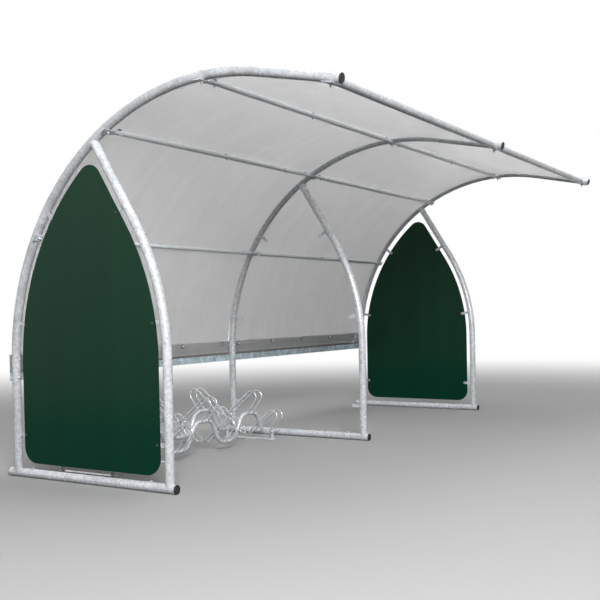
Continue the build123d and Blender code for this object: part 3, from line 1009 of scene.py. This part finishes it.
class SHELTER_OT_purlin_bolts(bpy.types.Operator):
    """Bolt every purlin up through its arch, with a clamp plate where two ends meet"""
    bl_idname = "shelter.purlin_bolts"
    bl_label = "Bolt Purlins"

    def execute(self, context):
        fixings = props("fixings")
        size = fixings.bolt_diameter
        for name in PURLINS:
            (s, z), out, sink = purlin_seat(name)
            bm = bmesh.new()
            for side in SIDES:
                centre = at_side(FRAME_X[side], s, z)
                top = centre + out * (TUBE_RADIUS - size * ARCH_BEDDING)
                domed_head(bm, size, facing(top, out))
                under = centre - out * (sink - CLAMP_BEDDING)
                if side == "middle":
                    clamp_plate(bm, under, out)
                    under = under - out * fixings.clamp_thickness
                nut_and_thread(bm, size, facing(under, -out, turn_by=0.4), reach=2.2)
            make_piece(name + "_purlin_bolts", bm, bright_zinc())
        return {"FINISHED"}


def clamp_plate(bm, place, out):
    """Plate with rounded corners and chamfered edges, lying along the shelter under a joint."""
    fixings = props("fixings")
    half_length = fixings.clamp_length / 2
    half_width = fixings.clamp_width / 2
    thickness, chamfer = fixings.clamp_thickness, fixings.clamp_chamfer
    corner = half_width * 0.4
    steps = 24
    rings = []
    for inset, depth in ((chamfer, 0.0), (0.0, chamfer), (0.0, thickness - chamfer),
                         (chamfer, thickness)):
        ring = []
        for k in range(steps):
            a = math.tau * (k + 0.5) / steps
            x = math.copysign(half_length - corner, math.cos(a)) + (corner - inset) * math.cos(a)
            y = math.copysign(half_width - corner, math.sin(a)) + (corner - inset) * math.sin(a)
            ring.append((x, y, -depth))
        rings.append(ring)
    along = Vector((1, 0, 0))
    basis = Matrix((along, out.cross(along), out)).transposed().to_4x4()
    loft(bm, rings, Matrix.Translation(place) @ basis)


class SHELTER_OT_sheet_bolts(bpy.types.Operator):
    """Bolt the roof sheets down onto the purlins"""
    bl_idname = "shelter.sheet_bolts"
    bl_label = "Bolt Sheets to Purlins"

    def execute(self, context):
        fixings = props("fixings")
        sheet = props("shape").sheet_thickness
        size = fixings.small_bolt_diameter
        squeezed = fixings.seal_thickness * SEAL_SQUEEZE
        for name in SHEET_PURLINS:
            (s, z), out, sink = purlin_seat(name)
            bolts, seals = bmesh.new(), bmesh.new()
            for x in along_bays(fixings.sheet_bolt_inset, fixings.sheet_bolt_pitch):
                centre = at_side(x, s, z)
                face = centre + out * sheet / 2
                rubber_seal(seals, fixings.seal_diameter, fixings.seal_thickness, sheet,
                            facing(face, out))
                hex_head(bolts, size, facing(face + out * squeezed, out))
                below = centre - out * (sink - size * PURLIN_BEDDING)
                nut_and_thread(bolts, size, facing(below, -out), reach=1.9)
            make_piece(name + "_sheet_bolts", bolts, bright_zinc())
            make_piece(name + "_sheet_seals", seals, black_plastic())
        return {"FINISHED"}


class SHELTER_OT_rail_bolts(bpy.types.Operator):
    """Bolt the rear rail to the arches, the roof sheets to the rail, and the rail's splice"""
    bl_idname = "shelter.rail_bolts"
    bl_label = "Bolt Rear Rail"

    def execute(self, context):
        fixings = props("fixings")
        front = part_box("rear_rail_long")[0].y
        back = front + fixings.rail_thickness
        bolt_rail("rail_arch_bolts", FRAME_X.values(), FOOT_Y - TUBE_RADIUS + HEAD_BEDDING, back)
        bolt_sheets_to_rail(back)
        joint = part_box("rear_rail_short")[0].x
        inset = fixings.splice_bolt_inset
        bolt_rail("rail_splice_bolts", (joint - inset, joint + inset), front,
                  back + fixings.rail_thickness)
        return {"FINISHED"}


def bolt_rail(name, places, head_y, nut_y):
    """An upper and a lower bolt through the rail at each of some places along it."""
    fixings = props("fixings")
    size = fixings.bolt_diameter
    bm = bmesh.new()
    for x in places:
        for z in (fixings.rail_upper_bolt, fixings.rail_lower_bolt):
            domed_head(bm, size, facing((x, head_y, z), (0, -1, 0)))
            nut_and_thread(bm, size, facing((x, nut_y, z), (0, 1, 0)))
    make_piece(name, bm, bright_zinc())


def bolt_sheets_to_rail(back):
    """Glossy domed bolts through the sheets into the rail, their zinc lightened as a painted
    highlight, with nuts at the rail's back.
    """
    fixings = props("fixings")
    sheet = props("shape").sheet_thickness
    size = fixings.bolt_diameter
    z = fixings.rail_bolt_height
    middle, out = sheet_at_rail(z)
    bolts, seals = bmesh.new(), bmesh.new()
    for x in along_bays(fixings.sheet_bolt_inset, fixings.rail_bolt_pitch):
        face = middle + Vector((x, 0, 0)) - out * sheet / 2
        rubber_seal(seals, fixings.rail_seal_diameter, fixings.seal_thickness, sheet,
                    facing(face, -out))
        head = face - out * fixings.seal_thickness * SEAL_SQUEEZE
        domed_head(bolts, size * RAIL_HEAD, facing(head, -out))
        nut_and_thread(bolts, size, facing((x, back, z), (0, 1, 0)))
    # Glossy zinc, made much lighter (shade 2.1) as a painted highlight on the domed heads.
    glossy_highlit = bright_zinc("polished_bolt_zinc", roughness=0.16, shade=2.1)
    make_piece("rail_sheet_bolts", bolts, glossy_highlit)
    make_piece("rail_sheet_seals", seals, black_plastic())


class SHELTER_OT_panel_bolts(bpy.types.Operator):
    """Bolt the side panels to their lugs"""
    bl_idname = "shelter.panel_bolts"
    bl_label = "Bolt Side Panels"

    def execute(self, context):
        fixings = props("fixings")
        size = fixings.small_bolt_diameter
        # Much darker zinc than the other bolts (shade 0.30), so the heads show as dark dots.
        darkened = bright_zinc("weathered_bolt_zinc", roughness=0.42, shade=0.30)
        for bay, way in (("left", -1), ("right", 1)):
            low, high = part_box("side_panel_" + bay)
            outer = low.x if way < 0 else high.x
            inner = FRAME_X[bay] - way * fixings.lug_thickness / 2
            bm = bmesh.new()
            for height in fixings.lug_heights:
                for (s, z), (ds, dz) in (arch_at_height(height), post_at_height(height)):
                    hole = (s + ds * fixings.lug_hole, z + dz * fixings.lug_hole)
                    hex_head(bm, size, facing(at_side(outer, *hole), (way, 0, 0), turn_by=0.2))
                    nut_and_thread(bm, size,
                                   facing(at_side(inner, *hole), (-way, 0, 0), turn_by=0.3))
            make_piece("panel_bolts_" + bay, bm, darkened)
        return {"FINISHED"}


class SHELTER_OT_anchor_bolts(bpy.types.Operator):
    """Anchor the base tubes with two bolts each"""
    bl_idname = "shelter.anchor_bolts"
    bl_label = "Anchor Base Tubes"

    def execute(self, context):
        fixings = props("fixings")
        size = fixings.anchor_diameter
        bm = bmesh.new()
        for side in SIDES:
            for s in (fixings.anchor_rear, fixings.anchor_front):
                top = at_side(FRAME_X[side], s, 2 * TUBE_RADIUS - size * BASE_BEDDING)
                hex_head(bm, size, facing(top, (0, 0, 1), turn_by=0.35))
                shank(bm, at_side(FRAME_X[side], s, fixings.anchor_lift), top, size)
        make_piece("anchor_bolts", bm, bright_zinc())
        return {"FINISHED"}


class SHELTER_OT_studio(bpy.types.Operator):
    """Set the pale floor, the soft lights and the camera"""
    bl_idname = "shelter.studio"
    bl_label = "Set Studio"

    def execute(self, context):
        studio = props("studio")
        build_floor(context.scene, studio)
        build_world(context.scene, studio)
        build_lights(context.scene, studio)
        build_camera(context.scene, studio)
        context.scene.view_settings.view_transform = "Standard"
        return {"FINISHED"}


def build_floor(scene, studio):
    """Wide flat floor of pale paper."""
    reach = studio.floor_reach
    corners = [(-reach, -reach, 0), (reach, -reach, 0), (reach, reach, 0), (-reach, reach, 0)]
    mesh = bpy.data.meshes.new("floor")
    mesh.from_pydata(corners, [], [(0, 1, 2, 3)])
    mesh.materials.append(floor_paper(studio))
    floor = bpy.data.objects.new("floor", mesh)
    scene.collection.objects.link(floor)


def floor_paper(studio):
    """Matt pale paper that keeps the shelter's shadow and fades to white far away. The light that
    falls back from it onto the shelter is dimmer."""
    material, paper = new_material("floor_paper")
    nodes = material.node_tree.nodes
    tone = studio.floor_tone
    paper.inputs["Base Color"].default_value = (tone, tone, tone, 1.0)
    paper.inputs["Roughness"].default_value = 0.9
    paper.inputs["Specular IOR Level"].default_value = 0.1
    dim = nodes.new("ShaderNodeBsdfDiffuse")
    dim.inputs["Color"].default_value = (*studio.floor_bounce, 1.0)
    white = nodes.new("ShaderNodeEmission")
    white.inputs["Color"].default_value = (1.0, 1.0, 1.0, 1.0)
    white.inputs["Strength"].default_value = 1.0
    from_middle = nodes.new("ShaderNodeVectorMath")
    from_middle.operation = "LENGTH"
    link(material, object_place(material), from_middle.inputs[0])
    fade = nodes.new("ShaderNodeMapRange")
    fade.interpolation_type = "SMOOTHSTEP"
    fade.inputs["From Min"].default_value = studio.fade_start
    fade.inputs["From Max"].default_value = studio.fade_end
    link(material, from_middle.outputs["Value"], fade.inputs["Value"])
    seen = seen_directly(material)
    whiteness = combine(material, "MULTIPLY", fade.outputs["Result"], seen)
    surface = mix_shaders(material, seen, dim.outputs["BSDF"], paper.outputs["BSDF"])
    surface = mix_shaders(material, whiteness, surface, white.outputs["Emission"])
    link(material, surface, nodes["Material Output"].inputs["Surface"])
    return material


def combine(owner, operation, first, second):
    """One number from two: their product, or the larger of them."""
    node = owner.node_tree.nodes.new("ShaderNodeMath")
    node.operation = operation
    link(owner, first, node.inputs[0])
    link(owner, second, node.inputs[1])
    return node.outputs["Value"]


def seen_directly(owner):
    """1 for what the camera sees straight on, in metal or through the frosted sheets."""
    path = owner.node_tree.nodes.new("ShaderNodeLightPath")
    seen = path.outputs["Is Camera Ray"]
    for ray in ("Is Glossy Ray", "Is Transmission Ray"):
        seen = combine(owner, "MAXIMUM", seen, path.outputs[ray])
    return seen


def build_world(scene, studio):
    """White backdrop for the eye, and a soft overhead sky for the light."""
    world = bpy.data.worlds.new("studio_sky")
    scene.world = world
    world.use_nodes = True
    nodes = world.node_tree.nodes
    direction = nodes.new("ShaderNodeTexCoord").outputs["Generated"]
    sky = ramp(world, height_share(world, direction, -1.0, 1.0),
               ((0.0, 0.02), (0.49, 0.05), (0.56, 0.70), (0.75, 0.90), (1.0, 1.0)))
    light = nodes["Background"]
    link(world, sky, light.inputs["Color"])
    light.inputs["Strength"].default_value = studio.sky_strength
    white = nodes.new("ShaderNodeBackground")
    white.inputs["Color"].default_value = (1.0, 1.0, 1.0, 1.0)
    white.inputs["Strength"].default_value = 1.0
    surface = mix_shaders(world, seen_directly(world), light.outputs["Background"],
                          white.outputs["Background"])
    link(world, surface, nodes["World Output"].inputs["Surface"])


def build_lights(scene, studio):
    """A soft key light from the left and the open front, and a broad weak one overhead."""
    for name in ("key", "top"):
        lamp = bpy.data.lights.new(name, "AREA")
        lamp.size = getattr(studio, name + "_size")
        lamp.energy = getattr(studio, name + "_power")
        place = Vector(getattr(studio, name + "_place"))
        light = bpy.data.objects.new(name, lamp)
        light.location = place
        aim = Vector(studio.light_aim) - place
        light.rotation_euler = aim.to_track_quat("-Z", "Y").to_euler()
        scene.collection.objects.link(light)


def build_camera(scene, studio):
    """Camera at the viewpoint that the shelter was looked at from."""
    lens = bpy.data.cameras.new("camera")
    lens.lens = studio.lens
    lens.sensor_width = 36.0
    lens.shift_x, lens.shift_y = studio.shift
    camera = bpy.data.objects.new("camera", lens)
    yaw, pitch, roll = studio.camera_yaw, studio.camera_pitch, studio.camera_roll
    ahead = Vector((math.sin(yaw) * math.cos(pitch), math.cos(yaw) * math.cos(pitch),
                    math.sin(pitch)))
    level = Vector((math.cos(yaw), -math.sin(yaw), 0))
    upright = level.cross(ahead)
    right = level * math.cos(roll) + upright * math.sin(roll)
    up = upright * math.cos(roll) - level * math.sin(roll)
    turn = Matrix((right, up, -ahead)).transposed()
    camera.matrix_world = Matrix.Translation(studio.camera_place) @ turn.to_4x4()
    scene.collection.objects.link(camera)
    scene.camera = camera


class SHELTER_PT_sidebar(bpy.types.Panel):
    """Sizes, colours and steps of the shelter, in the 3D view's sidebar"""
    bl_idname = "SHELTER_PT_sidebar"
    bl_label = "Bike Shelter"
    bl_space_type = "VIEW_3D"
    bl_region_type = "UI"
    bl_category = "Shelter"

    def draw(self, context):
        for kind in GROUPS:
            box = self.layout.box()
            box.label(text=kind.title())
            group = getattr(context.scene, "shelter_" + kind)
            for name in type(group).__annotations__:
                box.prop(group, name)
        for operator in OPERATORS:
            self.layout.operator(operator.bl_idname)


GROUPS = {
    "shape": ShelterShape,
    "fixings": ShelterFixings,
    "rack": ShelterRack,
    "colours": ShelterColours,
    "studio": ShelterStudio,
}
OPERATORS = (
    SHELTER_OT_frames,
    SHELTER_OT_claddings,
    SHELTER_OT_rack,
    SHELTER_OT_frame_welds,
    SHELTER_OT_purlin_bolts,
    SHELTER_OT_sheet_bolts,
    SHELTER_OT_rail_bolts,
    SHELTER_OT_panel_bolts,
    SHELTER_OT_anchor_bolts,
    SHELTER_OT_studio,
)
CLASSES = tuple(GROUPS.values()) + OPERATORS + (SHELTER_PT_sidebar,)


def register():
    for cls in CLASSES:
        bpy.utils.register_class(cls)
    for kind, group in GROUPS.items():
        setattr(bpy.types.Scene, "shelter_" + kind, bpy.props.PointerProperty(type=group))


def unregister():
    for kind in GROUPS:
        delattr(bpy.types.Scene, "shelter_" + kind)
    for cls in reversed(CLASSES):
        bpy.utils.unregister_class(cls)


def main():
    """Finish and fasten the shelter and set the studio."""
    register()
    for operator in OPERATORS:
        group, name = operator.bl_idname.split(".")
        getattr(getattr(bpy.ops, group), name)()


if __name__ == "__main__":
    main()
